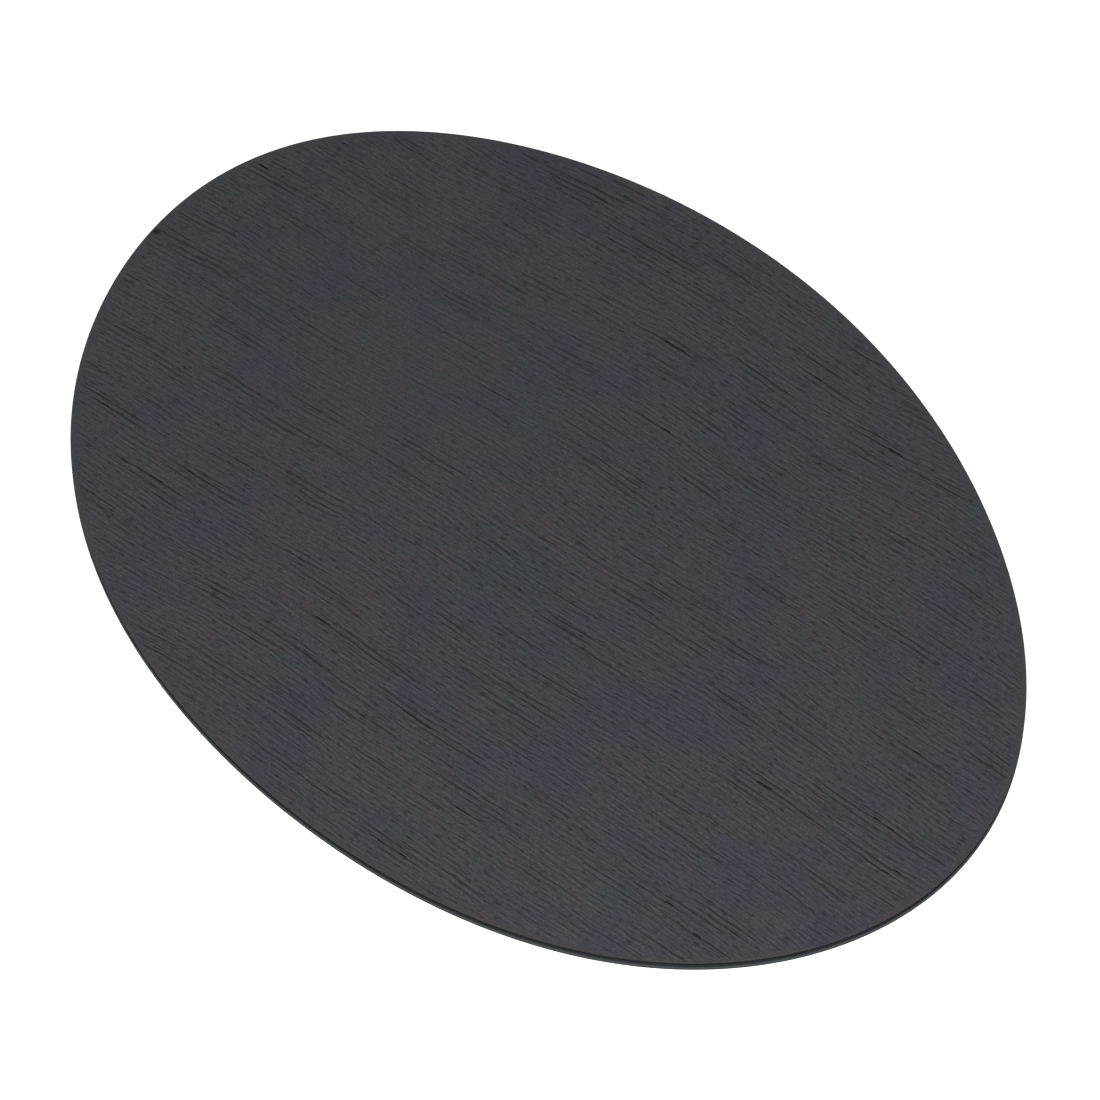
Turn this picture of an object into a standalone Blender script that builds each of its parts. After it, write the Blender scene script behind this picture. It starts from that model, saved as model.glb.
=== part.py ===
"""Oval table mat: an embossed skin, a fibre board and a grip sheet, inside a soft edge band.

Metres, +Z up.  The origin is on the table, under the middle of the mat.  +X runs along the
mat's length and +Y across its width.  The layers are stacked up from the table in the order
grip sheet, glue film, board, glue film, skin, and the edge band closes the wall round the board.
"""

import math

import bmesh
import bpy
from mathutils import Vector

# Outline of the finished mat, which is the skin's own outline
LENGTH = 0.460
WIDTH = 0.330
# The outline is an oval with slight swellings, each given as how many there are round the
# mat, how far they stand out as a share of the radius, and where the first one is, in degrees
SWELLINGS = ((3, 0.0058, 15.0), (4, 0.0027, -18.5), (5, 0.0039, 25.5))
OUTLINE_POINTS = 180

# Thickness of each layer
GRIP_THICKNESS = 0.0008
GLUE_FILM_THICKNESS = 0.00015
BOARD_THICKNESS = 0.0027
SKIN_THICKNESS = 0.0005

# Room left between neighbouring pieces
LAYER_GAP = 0.00005
BAND_GAP = 0.00005

# How far the pieces' edges stay inside the mat's outline
GRIP_INSET = 0.0001
BAND_INSET = 0.0001
BAND_WALL = 0.0016

# The groove that the band leaves under the skin's edge
GROOVE_DEPTH = 0.0005
GROOVE_HEIGHT = 0.0010
GROOVE_BLEND = 0.0006
GROOVE_BLEND_STEPS = 3

# Rounding of the outer corners
SKIN_ROUND = 0.0002
BAND_FOOT_ROUND = 0.0003
GRIP_FOOT_ROUND = 0.00025
ROUND_STEPS = 2

SHARP_ANGLE = math.radians(35)


def clear_scene():
    """Remove whatever the file opened with."""
    for old in list(bpy.data.objects):
        bpy.data.objects.remove(old, do_unlink=True)


def swollen_oval(turn):
    """A point of the oval before it is centred, with turn running from 0 to 2 pi."""
    reach = 1.0
    for count, height, first in SWELLINGS:
        reach += height * math.cos(count * (turn - math.radians(first)))
    return Vector((LENGTH / 2 * math.cos(turn) * reach, WIDTH / 2 * math.sin(turn) * reach))


def centred_outline():
    """The mat's outline, counter-clockwise, exactly LENGTH by WIDTH about the origin."""
    turns = [math.tau * i / OUTLINE_POINTS for i in range(OUTLINE_POINTS)]
    raw = [swollen_oval(turn) for turn in turns]
    low = Vector((min(p.x for p in raw), min(p.y for p in raw)))
    high = Vector((max(p.x for p in raw), max(p.y for p in raw)))
    middle = (low + high) / 2
    stretch = Vector((LENGTH / (high.x - low.x), WIDTH / (high.y - low.y)))
    return [(p - middle) * stretch for p in raw]


def inset_outline(inset):
    """The outline moved inwards by the same distance all round."""
    outline = centred_outline()
    moved = []
    for i, point in enumerate(outline):
        along = outline[(i + 1) % OUTLINE_POINTS] - outline[i - 1]
        outward = Vector((along.y, -along.x)).normalized()
        moved.append(point - outward * inset)
    return moved


def add_ring(mesh, inset, height):
    """One closed loop of points that follows the outline."""
    return [mesh.verts.new((p.x, p.y, height)) for p in inset_outline(inset)]


def join_rings(mesh, lower, upper):
    """Faces between two loops, facing out when lower runs below upper on the outside."""
    for i in range(OUTLINE_POINTS):
        j = (i + 1) % OUTLINE_POINTS
        mesh.faces.new((lower[i], lower[j], upper[j], upper[i]))


def quarter_round(radius, from_foot):
    """Inset and height steps of a rounded corner, at a foot or at a top edge, going up."""
    steps = []
    for i in range(ROUND_STEPS + 1):
        angle = math.pi / 2 * i / ROUND_STEPS
        across, up = radius * math.sin(angle), radius * math.cos(angle)
        if from_foot:
            steps.append((radius - across, radius - up))
        else:
            steps.append((radius - up, across - radius))
    return steps


def finished_object(name, mesh, material):
    """A scene object from a bmesh, smooth except at its sharp corners."""
    bmesh.ops.recalc_face_normals(mesh, faces=mesh.faces)
    data = bpy.data.meshes.new(name)
    mesh.to_mesh(data)
    mesh.free()
    data.materials.append(material)
    data.shade_smooth()
    data.set_sharp_from_angle(angle=SHARP_ANGLE)
    piece = bpy.data.objects.new(name, data)
    bpy.context.collection.objects.link(piece)
    return piece


def sheet(name, profile, material):
    """A solid sheet whose edge follows a profile of (inset, height) points, going up."""
    mesh = bmesh.new()
    rings = [add_ring(mesh, inset, height) for inset, height in profile]
    for lower, upper in zip(rings, rings[1:]):
        join_rings(mesh, lower, upper)
    mesh.faces.new(list(reversed(rings[0])))
    mesh.faces.new(rings[-1])
    return finished_object(name, mesh, material)


def frame_band(name, profile, material):
    """A closed band round the mat whose section is a loop of (inset, height) points."""
    mesh = bmesh.new()
    rings = [add_ring(mesh, inset, height) for inset, height in profile]
    for lower, upper in zip(rings, rings[1:] + rings[:1]):
        join_rings(mesh, lower, upper)
    return finished_object(name, mesh, material)


def finish(name, colour, roughness):
    """A plain material with the piece's colour and roughness; nothing here is metal."""
    material = bpy.data.materials.new(name)
    material.use_nodes = True
    shader = material.node_tree.nodes["Principled BSDF"]
    shader.inputs["Base Color"].default_value = (*colour, 1.0)
    shader.inputs["Roughness"].default_value = roughness
    shader.inputs["Metallic"].default_value = 0.0
    return material


def grip_backing(bottom):
    """The soft grip sheet that lies on the table, with its lower edge rounded."""
    profile = [(GRIP_INSET + inset, bottom + rise)
               for inset, rise in quarter_round(GRIP_FOOT_ROUND, from_foot=True)]
    profile.append((GRIP_INSET, bottom + GRIP_THICKNESS))
    sheet("grip_backing", profile, finish("black_grip_sheet", (0.020, 0.020, 0.022), 0.95))
    return bottom + GRIP_THICKNESS


def filling(name, bottom, thickness, material):
    """A layer that lies inside the edge band."""
    inset = BAND_INSET + BAND_WALL + BAND_GAP
    sheet(name, [(inset, bottom), (inset, bottom + thickness)], material)
    return bottom + thickness


def edge_band(bottom, top):
    """The band between grip sheet and skin, hollowed to a groove under the skin's edge."""
    outside = [(BAND_INSET + inset, bottom + rise)
               for inset, rise in quarter_round(BAND_FOOT_ROUND, from_foot=True)]
    blend_start = top - GROOVE_HEIGHT - GROOVE_BLEND
    for i in range(GROOVE_BLEND_STEPS + 1):
        share = i / GROOVE_BLEND_STEPS
        depth = GROOVE_DEPTH * (1 - math.cos(math.pi * share)) / 2
        outside.append((BAND_INSET + depth, blend_start + GROOVE_BLEND * share))
    outside.append((BAND_INSET + GROOVE_DEPTH, top))
    inside = [(BAND_INSET + BAND_WALL, top), (BAND_INSET + BAND_WALL, bottom)]
    frame_band("edge_band", outside + inside, finish("black_band", (0.018, 0.018, 0.020), 0.60))


def embossed_skin(bottom):
    """The face film, the only layer that reaches the full outline, with a rounded top edge."""
    top = bottom + SKIN_THICKNESS
    profile = [(0.0, bottom)]
    profile += [(inset, top + drop)
                for inset, drop in quarter_round(SKIN_ROUND, from_foot=False)]
    sheet("embossed_skin", profile, finish("charcoal_film", (0.052, 0.053, 0.059), 0.55))
    return top


def build_mat():
    """Stack the layers from the table up."""
    glue = finish("clear_glue", (0.45, 0.42, 0.34), 0.30)
    board = finish("grey_fibre_board", (0.13, 0.11, 0.09), 0.90)
    level = grip_backing(0.0) + LAYER_GAP
    band_foot = level
    level = filling("lower_glue_film", level, GLUE_FILM_THICKNESS, glue) + LAYER_GAP
    level = filling("fibre_board_core", level, BOARD_THICKNESS, board) + LAYER_GAP
    level = filling("upper_glue_film", level, GLUE_FILM_THICKNESS, glue)
    edge_band(band_foot, level)
    embossed_skin(level + LAYER_GAP)


clear_scene()
build_mat()
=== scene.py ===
import math

import bpy
from mathutils import Matrix, Vector, kdtree


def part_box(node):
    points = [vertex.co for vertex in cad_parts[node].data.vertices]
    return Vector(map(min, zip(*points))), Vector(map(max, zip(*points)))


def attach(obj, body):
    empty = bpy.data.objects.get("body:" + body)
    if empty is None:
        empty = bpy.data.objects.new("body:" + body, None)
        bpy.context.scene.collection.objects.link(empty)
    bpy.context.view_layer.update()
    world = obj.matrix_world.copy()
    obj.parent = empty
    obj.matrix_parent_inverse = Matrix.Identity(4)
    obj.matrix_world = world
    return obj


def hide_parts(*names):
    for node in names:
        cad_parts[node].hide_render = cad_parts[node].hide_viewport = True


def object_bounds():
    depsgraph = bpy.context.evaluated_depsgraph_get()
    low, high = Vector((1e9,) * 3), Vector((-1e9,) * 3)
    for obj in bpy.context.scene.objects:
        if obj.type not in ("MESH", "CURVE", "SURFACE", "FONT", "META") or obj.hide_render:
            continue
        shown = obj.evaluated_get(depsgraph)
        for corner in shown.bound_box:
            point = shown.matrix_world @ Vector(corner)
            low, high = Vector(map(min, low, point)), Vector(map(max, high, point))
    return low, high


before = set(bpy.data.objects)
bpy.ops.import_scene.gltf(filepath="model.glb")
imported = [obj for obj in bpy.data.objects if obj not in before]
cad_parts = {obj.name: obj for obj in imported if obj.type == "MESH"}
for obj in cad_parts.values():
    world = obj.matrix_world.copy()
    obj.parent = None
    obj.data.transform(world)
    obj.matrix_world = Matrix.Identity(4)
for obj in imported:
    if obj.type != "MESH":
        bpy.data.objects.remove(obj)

# An oval table mat, charcoal coloured: a stiff laminate with a streaked, embossed face.
# Lengths are in metres. The mat lies on the table at height 0, its length along X and its
# face up. The sections follow the order in which the mat is put together.
cad_low, cad_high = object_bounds()
bpy.ops.object.select_all(action="DESELECT")


# ---- Camera ----
# A long lens three metres away, so that the near and far ends show at almost the same
# scale. It looks down steeply from beyond the mat's near right-hand side.
lens_mm = 250
camera_distance = 3.0355
camera_turn = math.radians(54.25)
camera_rise = math.radians(51.9)
aim_right = 0.0028
aim_down = 0.0059
farthest_view = 30

back = Vector((math.sin(camera_turn) * math.cos(camera_rise),
               -math.cos(camera_turn) * math.cos(camera_rise),
               math.sin(camera_rise)))
sideways = Vector((math.cos(camera_turn), math.sin(camera_turn), 0))
upwards = back.cross(sideways)
aim = (cad_low + cad_high) / 2 + sideways * aim_right - upwards * aim_down
bpy.ops.object.camera_add(location=aim + back * camera_distance,
                          rotation=(-back).to_track_quat("-Z", "Y").to_euler())
camera = bpy.context.object
camera.name = "camera"
camera.data.lens = lens_mm
camera.data.clip_end = farthest_view
bpy.context.scene.camera = camera


# ---- Table and light ----
# A plain white light table that runs on to the horizon and glows faintly, a pale room, and
# one soft lamp above the mat's near side. None of this is part of the mat.
table_size = 40
table_drop = 0.00005
table_white = (0.93, 0.93, 0.93, 1)
table_glow = 0.55
room_colour = (0.98, 0.99, 1, 1)
room_strength = 0.77
lamp_size = 0.7
lamp_place = Vector((0.50, -0.36, 0.60))
lamp_watts = 7.6
lamp_colour = (1, 0.97, 0.90)

bpy.ops.mesh.primitive_plane_add(size=table_size, location=(0, 0, -table_drop))
table = bpy.context.object
table.name = "table"
white = bpy.data.materials.new("white_table")
white.use_nodes = True
white_shader = white.node_tree.nodes["Principled BSDF"]
white_shader.inputs["Base Color"].default_value = table_white
white_shader.inputs["Roughness"].default_value = 0.9
white_shader.inputs["Specular IOR Level"].default_value = 0.2
white_shader.inputs["Emission Color"].default_value = (1, 1, 1, 1)
white_shader.inputs["Emission Strength"].default_value = table_glow
table.data.materials.append(white)

world = bpy.data.worlds.new("pale_room")
world.use_nodes = True
room = world.node_tree.nodes["Background"]
room.inputs["Color"].default_value = room_colour
room.inputs["Strength"].default_value = room_strength
bpy.context.scene.world = world

bpy.ops.object.light_add(type="AREA", location=lamp_place,
                         rotation=lamp_place.to_track_quat("Z", "Y").to_euler())
lamp = bpy.context.object
lamp.name = "overhead_lamp"
lamp.data.size = lamp_size
lamp.data.energy = lamp_watts
lamp.data.color = lamp_colour
bpy.context.scene.view_settings.view_transform = "Standard"
bpy.ops.object.select_all(action="DESELECT")


# ---- Grip backing ----
# A thin sheet of soft foamed rubber that keeps the mat from sliding. It is die-cut a hair
# inside the mat's outline, and the cut rolls its lower edge over.
rim_points = 720
swellings = ((3, 0.0058, 15.0), (4, 0.0027, -18.5), (5, 0.0039, 25.5))
grip_low, grip_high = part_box("grip_backing")
grip_inset = cad_high.x - grip_high.x
grip_round = 0.00012
grip_round_steps = 4
crisp_corner = 35


def swollen_oval(turn):
    """A point of the mat's outline before it is sized: a circle with slight swellings."""
    reach = 1 + sum(height * math.cos(count * (turn - math.radians(first)))
                    for count, height, first in swellings)
    return Vector((math.cos(turn) * reach, math.sin(turn) * reach, 0))


def mat_outline(count):
    """Points round the finished mat's edge, counter-clockwise from above, at height 0."""
    raw = [swollen_oval(math.tau * i / count) for i in range(count)]
    low = Vector((min(p.x for p in raw), min(p.y for p in raw), 0))
    high = Vector((max(p.x for p in raw), max(p.y for p in raw), 0))
    middle = (low + high) / 2
    wide = (cad_high.x - cad_low.x) / (high.x - low.x)
    deep = (cad_high.y - cad_low.y) / (high.y - low.y)
    return [Vector(((p.x - middle.x) * wide, (p.y - middle.y) * deep, 0)) for p in raw]


def set_in(outline, inset, height):
    """The outline moved inwards by the same distance all round, at a new height."""
    points = []
    for i, here in enumerate(outline):
        along = (outline[(i + 1) % len(outline)] - outline[i - 1]).normalized()
        points.append(Vector((here.x - along.y * inset, here.y + along.x * inset, height)))
    return points


def cut_loop(name, inset, height):
    """A loop of edges along the mat's outline, left selected in edit mode."""
    bpy.ops.mesh.primitive_circle_add(vertices=rim_points, fill_type="NOTHING")
    loop = bpy.context.object
    loop.name = name
    places = set_in(mat_outline(rim_points), inset, height)
    for vertex, place in zip(loop.data.vertices, places):
        vertex.co = place
    bpy.ops.object.mode_set(mode="EDIT")
    bpy.ops.mesh.select_all(action="SELECT")
    return loop


def draw_loop(rise, inset, new_inset):
    """Extrude the selected loop upwards by rise while it closes in or opens out."""
    bpy.ops.mesh.extrude_region_move(TRANSFORM_OT_translate={"value": (0, 0, rise)})
    closer = ((cad_high.x - new_inset) / (cad_high.x - inset),
              (cad_high.y - new_inset) / (cad_high.y - inset), 1)
    bpy.ops.transform.resize(value=closer, center_override=(0, 0, 0))


def close_up(piece, sharp_degrees):
    """Leave edit mode with the faces pointing out, smooth but for the sharp corners."""
    bpy.ops.mesh.select_all(action="SELECT")
    bpy.ops.mesh.normals_make_consistent(inside=False)
    bpy.ops.object.mode_set(mode="OBJECT")
    bpy.ops.object.shade_smooth_by_angle(angle=math.radians(sharp_degrees))
    bpy.ops.object.select_all(action="DESELECT")


grip_sheet = cut_loop("grip_sheet", grip_inset, grip_low.z)
bpy.ops.mesh.edge_face_add()
bpy.ops.mesh.extrude_region_move(
    TRANSFORM_OT_translate={"value": (0, 0, grip_high.z - grip_low.z)})
bpy.ops.object.mode_set(mode="OBJECT")
foot_level = (grip_low.z + grip_high.z) / 2
for vertex in grip_sheet.data.vertices:
    vertex.select = vertex.co.z < foot_level
for edge in grip_sheet.data.edges:
    edge.select = all(grip_sheet.data.vertices[end].select for end in edge.vertices)
for face in grip_sheet.data.polygons:
    face.select = False
bpy.ops.object.mode_set(mode="EDIT")
bpy.ops.mesh.bevel(offset=grip_round, segments=grip_round_steps, affect="EDGES")
close_up(grip_sheet, crisp_corner)


def new_finish(name, colour, roughness, shine):
    """A Principled material with its constant values set. Returns material, tree, shader."""
    material = bpy.data.materials.new(name)
    material.use_nodes = True
    shader = material.node_tree.nodes["Principled BSDF"]
    shader.inputs["Base Color"].default_value = (*colour, 1)
    shader.inputs["Roughness"].default_value = roughness
    shader.inputs["Specular IOR Level"].default_value = shine
    return material, material.node_tree, shader


def add_node(tree, kind, inputs=(), **settings):
    """A node with its settings, its inputs given as (name or number, value or socket)."""
    made = tree.nodes.new(kind)
    for name, value in settings.items():
        setattr(made, name, value)
    for key, value in inputs:
        if isinstance(value, bpy.types.NodeSocket):
            tree.links.new(value, made.inputs[key])
        else:
            made.inputs[key].default_value = value
    return made


def reckon(tree, operation, first, second):
    """The result of one operation on two sockets or numbers, as a socket."""
    return add_node(tree, "ShaderNodeMath", ((0, first), (1, second)),
                    operation=operation).outputs[0]


def tint(tree, shader, dark, light, share):
    """Base colour that runs from dark to light as share goes from 0 to 1. Returns its socket."""
    mix = add_node(tree, "ShaderNodeMix", (("Factor", share),), data_type="RGBA")
    mix.inputs["A"].default_value = (*dark, 1)
    mix.inputs["B"].default_value = (*light, 1)
    tree.links.new(mix.outputs["Result"], shader.inputs["Base Color"])
    return mix.outputs["Result"]


def raise_surface(tree, shader, height, depth, strength):
    """Fine relief of the given depth in metres, which only the shading shows."""
    relief = add_node(tree, "ShaderNodeBump",
                      (("Height", height), ("Distance", depth), ("Strength", strength)))
    tree.links.new(relief.outputs["Normal"], shader.inputs["Normal"])


rubber, tree, shader = new_finish("foamed_rubber", (0.034, 0.035, 0.037), 0.85, 0.1)
place = add_node(tree, "ShaderNodeTexCoord").outputs["Object"]
pores = add_node(tree, "ShaderNodeTexVoronoi", (("Vector", place), ("Scale", 1400)))
cloud = add_node(tree, "ShaderNodeTexNoise", (("Vector", place), ("Scale", 90), ("Detail", 3)))
tint(tree, shader, (0.026, 0.029, 0.032), (0.040, 0.043, 0.047), cloud.outputs["Fac"])
raise_surface(tree, shader, pores.outputs["Distance"], 0.00015, 0.7)
grip_sheet.data.materials.append(rubber)
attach(grip_sheet, "root")
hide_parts("grip_backing")


# ---- Glue films and board ----
# Two sheets of hot-melt film hold a pressed fibre board between the backing and the skin.
# All three are hidden once the edge band is on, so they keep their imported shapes.
melt, tree, shader = new_finish("hot_melt_film", (0.45, 0.42, 0.34), 0.35, 0.5)
place = add_node(tree, "ShaderNodeTexCoord").outputs["Object"]
web = add_node(tree, "ShaderNodeTexNoise", (("Vector", place), ("Scale", 260), ("Detail", 2)))
tint(tree, shader, (0.38, 0.35, 0.27), (0.52, 0.49, 0.41), web.outputs["Fac"])
raise_surface(tree, shader, web.outputs["Fac"], 0.0001, 0.4)

board, tree, shader = new_finish("fibre_board", (0.13, 0.11, 0.09), 0.9, 0.3)
place = add_node(tree, "ShaderNodeTexCoord").outputs["Object"]
fibres = add_node(tree, "ShaderNodeTexNoise",
                  (("Vector", place), ("Scale", 700), ("Detail", 4), ("Distortion", 2.5)))
tint(tree, shader, (0.085, 0.072, 0.058), (0.18, 0.15, 0.125), fibres.outputs["Fac"])
raise_surface(tree, shader, fibres.outputs["Fac"], 0.0002, 0.5)

for layer, finish in (("lower_glue_film", melt), ("fibre_board_core", board),
                      ("upper_glue_film", melt)):
    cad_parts[layer].data.materials.clear()
    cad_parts[layer].data.materials.append(finish)


# ---- Edge band ----
# A ring of soft black plastic pressed round the board's cut edge. Under the skin it is
# hollowed to a narrow groove, which shows as a dark line below the face. Its colour is
# painted darker in the groove as shade, and lighter near the table as bounced light.
band_low, band_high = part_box("edge_band")
band_inset = cad_high.x - band_high.x
band_wall = 0.0016
groove_depth = 0.0005
groove_height = 0.0010
groove_blend = 0.0006
foot_round = 0.0002
curve_steps = 6
blunt_corner = 50
# How dark the groove is painted, as shade
groove_painted_shade = 0.15
# How much lighter the band's foot is painted, as light bounced up from the table, and from what
# height down
foot_painted_light = 3.6
foot_painted_light_from = 0.0024

band_section = []
for i in range(curve_steps + 1):
    angle = math.pi / 2 * i / curve_steps
    band_section.append((band_inset + foot_round * (1 - math.sin(angle)),
                         band_low.z + foot_round * (1 - math.cos(angle))))
for i in range(curve_steps + 1):
    share = i / curve_steps
    band_section.append((band_inset + groove_depth * (1 - math.cos(math.pi * share)) / 2,
                         band_high.z - groove_height - groove_blend * (1 - share)))
band_section.append((band_inset + groove_depth, band_high.z))
band_section.append((band_inset + band_wall, band_high.z))
band_section.append((band_inset + band_wall, band_low.z))

edge_ring = cut_loop("edge_ring", *band_section[0])
for (inset, height), (new_inset, new_height) in zip(band_section, band_section[1:]):
    draw_loop(new_height - height, inset, new_inset)
bpy.ops.mesh.select_all(action="DESELECT")
bpy.ops.mesh.select_non_manifold()
bpy.ops.mesh.bridge_edge_loops()
close_up(edge_ring, blunt_corner)


def spread(tree, value, low, high):
    """Stretches a value so that low becomes 0 and high becomes 1, eased at both ends."""
    return add_node(tree, "ShaderNodeMapRange",
                    (("Value", value), ("From Min", low), ("From Max", high)),
                    interpolation_type="SMOOTHSTEP").outputs["Result"]


def wash(tree, colour, first, second, share):
    """The colour washed over with a tint that runs from first to second with share."""
    hue = add_node(tree, "ShaderNodeMix", (("Factor", share),), data_type="RGBA")
    hue.inputs["A"].default_value = (*first, 1)
    hue.inputs["B"].default_value = (*second, 1)
    washed = add_node(tree, "ShaderNodeMix", data_type="RGBA", blend_type="MULTIPLY")
    washed.inputs["Factor"].default_value = 1
    tree.links.new(colour, washed.inputs["A"])
    tree.links.new(hue.outputs["Result"], washed.inputs["B"])
    return washed.outputs["Result"]


def grey(level):
    """A wash that darkens or lightens and leaves the hue alone; 1 changes nothing."""
    return (level, level, level)


band, tree, shader = new_finish("soft_black_plastic", (0.013, 0.0135, 0.015), 0.62, 0.05)
place = add_node(tree, "ShaderNodeTexCoord").outputs["Object"]
smears = add_node(tree, "ShaderNodeTexNoise", (("Vector", place), ("Scale", 120), ("Detail", 4)))
pits = add_node(tree, "ShaderNodeTexNoise", (("Vector", place), ("Scale", 2600), ("Detail", 2)))
height = add_node(tree, "ShaderNodeSeparateXYZ", (("Vector", place),)).outputs["Z"]
colour = tint(tree, shader, (0.0092, 0.0106, 0.0124), (0.0148, 0.0167, 0.0192),
              smears.outputs["Fac"])
# Painted shade: the colour darkens inside the groove under the skin's lip
clear_of_groove_shade = spread(tree, height, band_high.z - 0.1 * groove_height,
                       band_high.z - 1.5 * groove_height)
colour = wash(tree, colour, grey(groove_painted_shade), grey(1), clear_of_groove_shade)
# Painted light: the colour grows lighter towards the table, as if lit by light bounced up from it
painted_table_bounce = spread(tree, height, foot_painted_light_from, band_low.z)
colour = wash(tree, colour, grey(1), grey(foot_painted_light), painted_table_bounce)
tree.links.new(colour, shader.inputs["Base Color"])
raise_surface(tree, shader, pits.outputs["Fac"], 0.00005, 0.5)
edge_ring.data.materials.append(band)
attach(edge_ring, "root")
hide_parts("edge_band")


# ---- Embossed skin ----
# The mat's face is a thin charcoal plastic film, hot-pressed on a plate that carries the
# pattern of sawn and brushed wood. The press leaves a narrow smooth border at the cut.
skin_low, skin_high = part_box("embossed_skin")
skin_round = 0.00012
round_steps = 3
border = 0.0012
fade_width = 0.0026
cut_offset = Vector((0.00055, -0.00045, 0))
row_step = 0.0004
cell_length = 0.0035
weld_distance = 0.000005
trim_points = 4 * rim_points
emboss_depth = 0.00014

# The lie of the grain: its turn from the mat's length, its bow, its long swell, and its
# wander as pairs of bends per metre and how far they carry it
grain_turn = math.radians(15.9)
grain_bow = 0.105
grain_swell = 0.0011
swell_length = 0.18
wander = ((9, 0.007), (40, 0.0012), (150, 0.00050))

# The marks in it: their length and width, and how much each counts in the depth of the cut
score_size = (0.034, 0.0028)
score_gaps = (0.0030, 0.0010)
score_crowds = (0.045, 0.012)
wide_furrow = (0.011, 0.0024)
fine_furrow = (0.006, 0.0016)
nick_size = (0.0042, 0.0008)
wide_share = 0.38
fine_share = 0.28
nick_share = 0.40
lines_mean = 0.37
even_cut = 0.4

# A worn spot where the pattern is fainter, and a dark spot at the rim: painted shade of a small
# dent that the mesh doesn't have
soft_spot = Vector((-0.118, 0.011, 0))
spot_core = 0.03
spot_reach = 0.13
spot_firmness = 0.6
dent_shade_place = Vector((-0.2197, -0.0371, skin_high.z))
dent_shade_reach = 0.0024


def rows_of_grain(outline):
    """The end points of each row of cells across the mat, turned to lie along X."""
    turned = [Matrix.Rotation(-grain_turn, 3, "Z") @ point for point in outline]
    low = min(p.y for p in turned) + row_step / 4
    high = max(p.y for p in turned) - row_step / 4
    count = round((high - low) / row_step)
    rows = []
    for i in range(count + 1):
        level = low + (high - low) * i / count
        ends = []
        for before, after in zip(turned, turned[1:] + turned[:1]):
            if (before.y < level) != (after.y < level):
                share = (level - before.y) / (after.y - before.y)
                ends.append(before.x + (after.x - before.x) * share)
        rows.append((level, min(ends), max(ends)))
    return rows


def lay_field(outline):
    """A grid of cells drawn out along the grain, trimmed to the outline."""
    rows = rows_of_grain(outline)
    reach = max(max(-left, right) for level, left, right in rows)
    cells = round(2 * reach / cell_length)
    bpy.ops.mesh.primitive_grid_add(x_subdivisions=cells, y_subdivisions=len(rows) - 1, size=2)
    field = bpy.context.object
    turn_back = Matrix.Rotation(grain_turn, 3, "Z")
    for vertex in field.data.vertices:
        level, left, right = rows[round((vertex.co.y + 1) / 2 * (len(rows) - 1))]
        along = min(max(vertex.co.x * reach, left), right)
        vertex.co = turn_back @ Vector((along, level, skin_high.z))
    bpy.ops.object.mode_set(mode="EDIT")
    bpy.ops.mesh.select_all(action="SELECT")
    bpy.ops.mesh.remove_doubles(threshold=weld_distance)
    bpy.ops.object.mode_set(mode="OBJECT")
    return field


def mark_press(field):
    """How fully the plate pressed each point: 0 on the smooth border, 1 inside it."""
    edge = mat_outline(trim_points)
    tree = kdtree.KDTree(len(edge))
    for i, point in enumerate(edge):
        tree.insert(point + cut_offset, i)
    tree.balance()
    pressed = field.data.attributes.new("pressed", "FLOAT", "POINT")
    for vertex, mark in zip(field.data.vertices, pressed.data):
        gap = tree.find((vertex.co.x, vertex.co.y, 0))[2]
        share = min(max((gap - border) / fade_width, 0), 1)
        mark.value = share * share * (3 - 2 * share)


skin_thickness = skin_high.z - skin_low.z
skin = cut_loop("skin", 0, skin_low.z)
bpy.ops.mesh.edge_face_add()
draw_loop(skin_thickness - skin_round, 0, 0)
bpy.ops.mesh.delete(type="ONLY_FACE")
inset = 0
for i in range(1, round_steps + 1):
    angle = math.pi / 2 * i / round_steps
    new_inset = skin_round * (1 - math.cos(angle))
    rise = skin_round * (math.sin(angle) - math.sin(angle - math.pi / 2 / round_steps))
    draw_loop(rise, inset, new_inset)
    inset = new_inset
bpy.ops.object.mode_set(mode="OBJECT")
bpy.ops.object.select_all(action="DESELECT")

field = lay_field(set_in(mat_outline(trim_points), border, skin_high.z))
mark_press(field)
skin.select_set(True)
bpy.context.view_layer.objects.active = skin
bpy.ops.object.join()
bpy.ops.object.mode_set(mode="EDIT")
bpy.ops.mesh.select_all(action="DESELECT")
bpy.ops.mesh.select_non_manifold()
bpy.ops.mesh.fill(use_beauty=True)
close_up(skin, crisp_corner)


def grain_place(tree, place):
    """Where a point lies on the curved, wandering grain: along it in x, across it in y."""
    turned = add_node(tree, "ShaderNodeVectorRotate",
                      (("Vector", place), ("Angle", -grain_turn)), rotation_type="Z_AXIS")
    apart = add_node(tree, "ShaderNodeSeparateXYZ", (("Vector", turned.outputs[0]),))
    along, across = apart.outputs["X"], apart.outputs["Y"]
    lean = reckon(tree, "MULTIPLY", along, grain_bow)
    across = reckon(tree, "ADD", across, reckon(tree, "MULTIPLY", along, lean))
    phase = reckon(tree, "MULTIPLY", along, math.tau / swell_length)
    swell = add_node(tree, "ShaderNodeMath", ((0, phase),), operation="SINE").outputs[0]
    across = reckon(tree, "ADD", across, reckon(tree, "MULTIPLY", swell, grain_swell))
    for bends, shift in wander:
        drift = add_node(tree, "ShaderNodeTexNoise",
                         (("Vector", place), ("Scale", bends), ("Detail", 0)))
        across = reckon(tree, "ADD", across,
                        reckon(tree, "MULTIPLY", drift.outputs["Fac"], shift))
    return add_node(tree, "ShaderNodeCombineXYZ", (("X", along), ("Y", across))).outputs[0]


def streaks(tree, along_grain, size, detail=0):
    """Noise drawn out into streaks of about the given length and width."""
    length, width = size
    drawn = add_node(tree, "ShaderNodeVectorMath",
                     ((0, along_grain), (1, (1 / length, 1 / width, 1))), operation="MULTIPLY")
    noise = add_node(tree, "ShaderNodeTexNoise",
                     (("Vector", drawn.outputs[0]), ("Scale", 1), ("Detail", detail)),
                     noise_dimensions="2D")
    return noise.outputs["Fac"]


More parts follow.
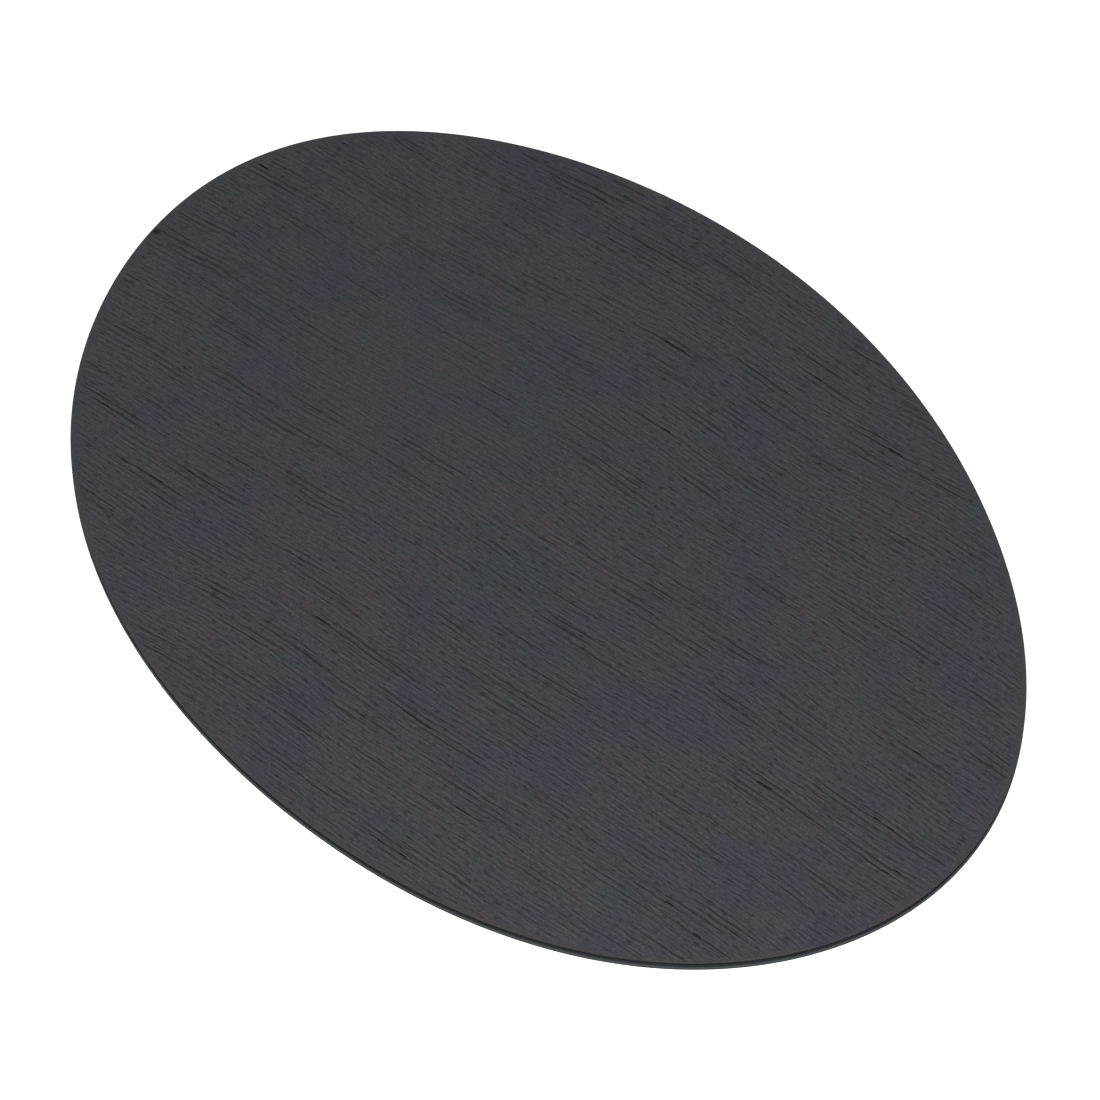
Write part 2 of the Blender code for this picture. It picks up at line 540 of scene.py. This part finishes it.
def furrows(tree, along_grain, size):
    """Evenly spaced ridges and furrows that run along the grain and fade in and out."""
    length, spacing = size
    waves_per_unit = 2
    drawn = add_node(tree, "ShaderNodeVectorMath",
                     ((0, along_grain), (1, (1 / length, 1 / waves_per_unit / spacing, 1))),
                     operation="MULTIPLY")
    waves = add_node(tree, "ShaderNodeTexGabor",
                     (("Vector", drawn.outputs[0]), ("Scale", 1), ("Frequency", waves_per_unit),
                      ("Anisotropy", 1), ("Orientation", math.pi / 2)), gabor_type="2D")
    return waves.outputs["Value"]


def blend_of(tree, share, none, full):
    """A number that runs from none to full as share goes from 0 to 1."""
    return add_node(tree, "ShaderNodeMapRange",
                    (("Value", share), ("To Min", none), ("To Max", full))).outputs["Result"]


def grain_lines(tree, along_grain):
    """The fine pattern all over the face: furrows of two widths, and short dark nicks."""
    wide = spread(tree, furrows(tree, along_grain, wide_furrow), 0.74, 0.26)
    fine = spread(tree, furrows(tree, along_grain, fine_furrow), 0.74, 0.26)
    nicks = spread(tree, streaks(tree, along_grain, nick_size), 0.40, 0.20)
    furrowed = reckon(tree, "ADD", reckon(tree, "MULTIPLY", wide, wide_share),
                      reckon(tree, "MULTIPLY", fine, fine_share))
    return reckon(tree, "ADD", furrowed, reckon(tree, "MULTIPLY", nicks, nick_share))


def saw_scores(tree, along_grain):
    """The longer, deeper scores, which crowd together in places and are broken into dashes."""
    scores = spread(tree, furrows(tree, along_grain, score_size), 0.44, 0.20)
    broken = blend_of(tree, streaks(tree, along_grain, score_gaps), 0.3, 1.7)
    crowd = spread(tree, streaks(tree, along_grain, score_crowds, detail=1), 0.32, 0.68)
    return reckon(tree, "MULTIPLY", reckon(tree, "MULTIPLY", scores, broken),
                  blend_of(tree, crowd, 0.42, 0.84))


def grain_cut(tree, place):
    """How deep the face is cut: about even_cut on average, over 1 at the foot of the scores."""
    along_grain = grain_place(tree, place)
    lines = reckon(tree, "SUBTRACT", grain_lines(tree, along_grain), lines_mean)
    change = reckon(tree, "ADD", lines, saw_scores(tree, along_grain))
    away = add_node(tree, "ShaderNodeVectorMath", ((0, place), (1, soft_spot)),
                    operation="DISTANCE").outputs["Value"]
    firm = blend_of(tree, spread(tree, away, spot_core, spot_reach), spot_firmness, 1)
    return reckon(tree, "ADD", even_cut, reckon(tree, "MULTIPLY", change, firm))


press = bpy.data.node_groups.new("press_plate", "GeometryNodeTree")
press.interface.new_socket("Geometry", in_out="INPUT", socket_type="NodeSocketGeometry")
press.interface.new_socket("Geometry", in_out="OUTPUT", socket_type="NodeSocketGeometry")
blank = add_node(press, "NodeGroupInput").outputs["Geometry"]
point = add_node(press, "GeometryNodeInputPosition").outputs[0]
pressed = add_node(press, "GeometryNodeInputNamedAttribute", (("Name", "pressed"),),
                   data_type="FLOAT").outputs["Attribute"]
never_raised = reckon(press, "MAXIMUM", grain_cut(press, point), 0)
sunk = reckon(press, "MULTIPLY", reckon(press, "MULTIPLY", never_raised, -emboss_depth), pressed)
drop = add_node(press, "ShaderNodeCombineXYZ", (("Z", sunk),)).outputs[0]
moved = add_node(press, "GeometryNodeSetPosition", (("Geometry", blank), ("Offset", drop)))
add_node(press, "NodeGroupOutput", (("Geometry", moved.outputs[0]),))
skin.modifiers.new("press_plate", "NODES").node_group = press
bpy.context.view_layer.objects.active = skin
bpy.ops.object.modifier_apply(modifier="press_plate")


def mottle(tree, place, patches):
    """Soft patches, so many to the metre, from 0 to 1."""
    clouds = add_node(tree, "ShaderNodeTexNoise",
                      (("Vector", place), ("Scale", patches), ("Detail", 4), ("Roughness", 0.85)))
    return spread(tree, clouds.outputs["Fac"], 0.34, 0.66)


film, tree, shader = new_finish("charcoal_film", (0.028, 0.029, 0.034), 0.56, 0.3)
place = add_node(tree, "ShaderNodeTexCoord").outputs["Object"]
pressed = add_node(tree, "ShaderNodeAttribute", attribute_name="pressed").outputs["Fac"]
# Painted shade: the colour runs darker where the cut is deeper, so the furrows and scores are
# painted dark. The same level also drives the bump.
deeper = reckon(tree, "SUBTRACT", grain_cut(tree, place), even_cut)
level = reckon(tree, "SUBTRACT", 1 - even_cut, reckon(tree, "MULTIPLY", deeper, pressed))
colour = tint(tree, shader, (0.0062, 0.0063, 0.0078), (0.0378, 0.0386, 0.0492), level)
warm_to_cool = mottle(tree, place, 15)
colour = wash(tree, colour, (1.16, 1.03, 0.98), (0.83, 0.96, 1.01), warm_to_cool)
plum_to_green = mottle(tree, place, 21)
colour = wash(tree, colour, (1.04, 0.93, 1.04), (0.96, 1.07, 0.96), plum_to_green)
tooth = add_node(tree, "ShaderNodeTexNoise", (("Vector", place), ("Scale", 1500), ("Detail", 1)))
colour = wash(tree, colour, grey(0.3), grey(1.7), tooth.outputs["Fac"])
colour = wash(tree, colour, (1.06, 1.03, 0.93), grey(1), pressed)
# Painted shade: a near-black spot at the rim stands in for the shade of a small dent
dent_shade_distance = add_node(tree, "ShaderNodeVectorMath", ((0, place), (1, dent_shade_place)),
                 operation="DISTANCE").outputs["Value"]
colour = wash(tree, colour, (0.02, 0.02, 0.03), grey(1),
              spread(tree, dent_shade_distance, 0.4 * dent_shade_reach, dent_shade_reach))
tree.links.new(colour, shader.inputs["Base Color"])
raise_surface(tree, shader, level, 0.0002, 0.42)

core_and_painted_shade, tree, shader = new_finish("film_core_painted_shade", (0.006, 0.006, 0.007), 0.9, 0.0)
place = add_node(tree, "ShaderNodeTexCoord").outputs["Object"]
drag = add_node(tree, "ShaderNodeTexNoise", (("Vector", place), ("Scale", 900), ("Detail", 2)))
tint(tree, shader, (0.004, 0.004, 0.005), (0.009, 0.009, 0.010), drag.outputs["Fac"])

# The cut side shows the film's dull core, made near-black partly as painted shade for the dark
# line under the face's edge. Level faces are the film, above and below.
skin.data.materials.clear()
skin.data.materials.append(film)
skin.data.materials.append(core_and_painted_shade)
cut_top = skin_high.z - 0.4 * skin_round
for face in skin.data.polygons:
    if face.center.z < cut_top and abs(face.normal.z) < 0.95:
        face.material_index = 1
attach(skin, "root")
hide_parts("embossed_skin")
